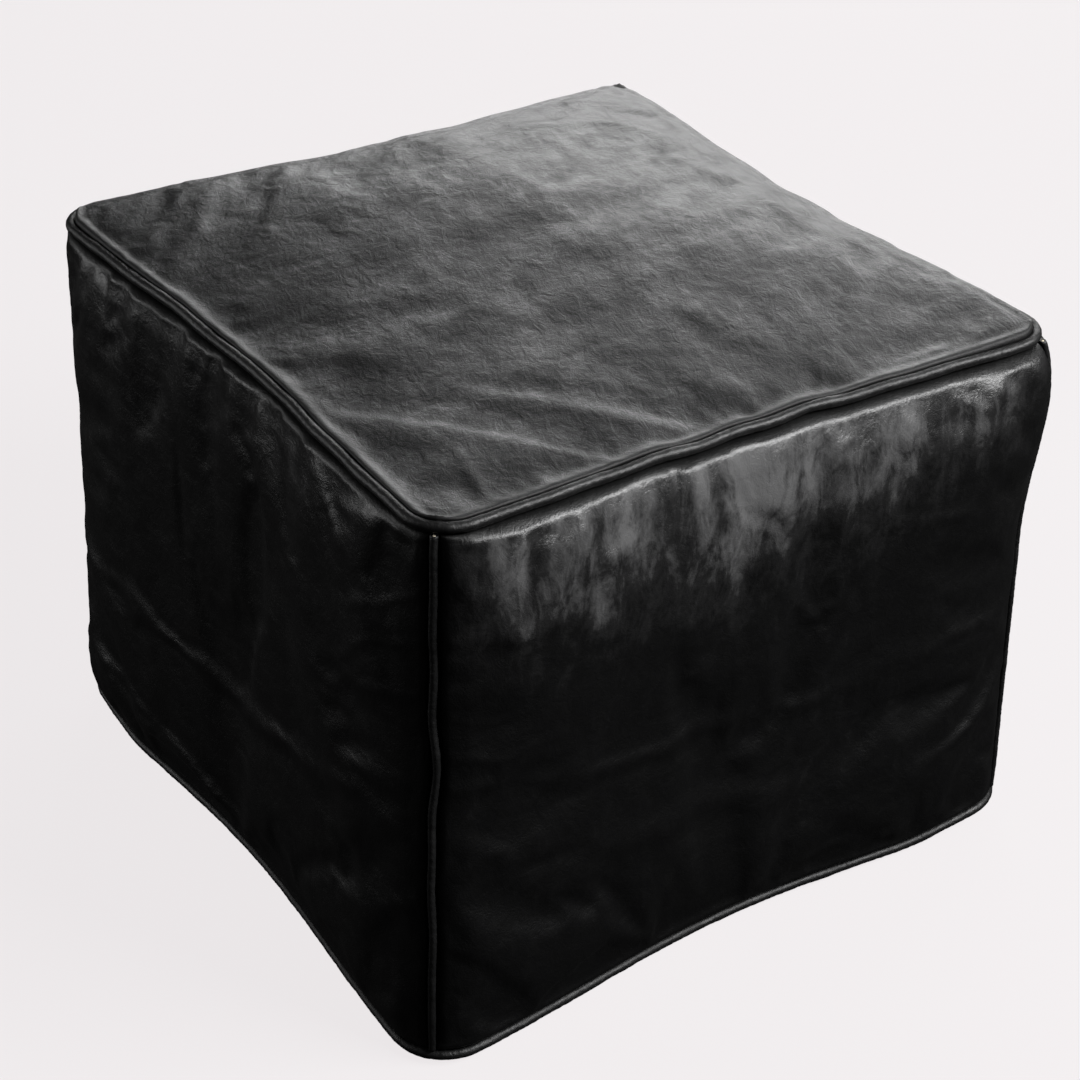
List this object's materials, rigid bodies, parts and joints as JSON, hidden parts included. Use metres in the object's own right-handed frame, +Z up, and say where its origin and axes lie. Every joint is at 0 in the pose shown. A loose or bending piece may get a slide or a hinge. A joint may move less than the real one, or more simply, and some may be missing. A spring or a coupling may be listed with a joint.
{
  "type": "square leather pouf",
  "caption": "Square stuffed floor pouf of sewn leather panels with piped seams, and a zip across the base that gives access to the filling.",
  "frame": {"origin": "on the floor, under the middle of the pouf", "axes": "+Z up; the front side faces -Y, the right side +X; the zip runs along X"},
  "size_m": [0.5097, 0.5125, 0.423],
  "materials": {
    "top_leather": "waxed, cloudy black with lighter grey patches",
    "side_leather": "soft black, half gloss",
    "base_leather": "plain black, matt",
    "piping_leather": "black, half gloss",
    "piping_cord": "twisted cotton",
    "zip_tape": "woven",
    "zip_metal": "antique",
    "liner_cotton": "plain woven",
    "stuffing": "loose fibre"
  },
  "bodies": {
    "cover": {"base_panel_back": "base_leather", "base_panel_front": "base_leather", "base_piping_cord": "piping_cord", "base_piping_cover": "piping_leather", "corner_piping_cord_back_left": "piping_cord", "corner_piping_cord_back_right": "piping_cord", "corner_piping_cord_front_left": "piping_cord", "corner_piping_cord_front_right": "piping_cord", "corner_piping_cover_back_left": "piping_leather", "corner_piping_cover_back_right": "piping_leather", "corner_piping_cover_front_left": "piping_leather", "corner_piping_cover_front_right": "piping_leather", "liner_bag": "liner_cotton", "side_panel_back": "side_leather", "side_panel_front": "side_leather", "side_panel_left": "side_leather", "side_panel_right": "side_leather", "stuffing": "stuffing", "top_panel": "top_leather", "top_piping_cord": "piping_cord", "top_piping_cover": "piping_leather", "zip_bottom_stop": "zip_metal", "zip_tape_back": "zip_tape", "zip_tape_front": "zip_tape", "zip_teeth_back": "zip_metal", "zip_teeth_front": "zip_metal", "zip_top_stop_back": "zip_metal", "zip_top_stop_front": "zip_metal"},
    "slider": {"zip_slider": "zip_metal"},
    "pull": {"zip_pull": "zip_metal"}
  },
  "joints": [
    {"name": "zip_slide", "type": "slide", "parent": "cover", "child": "slider", "axis": [-1, 0, 0], "range_m": [0, 0.328]},
    {"name": "zip_pull_hinge", "type": "hinge", "parent": "slider", "child": "pull", "pos_m": [0.165, 0, 0.006], "axis": [0, -1, 0], "range_deg": [0, 170]}
  ]
}
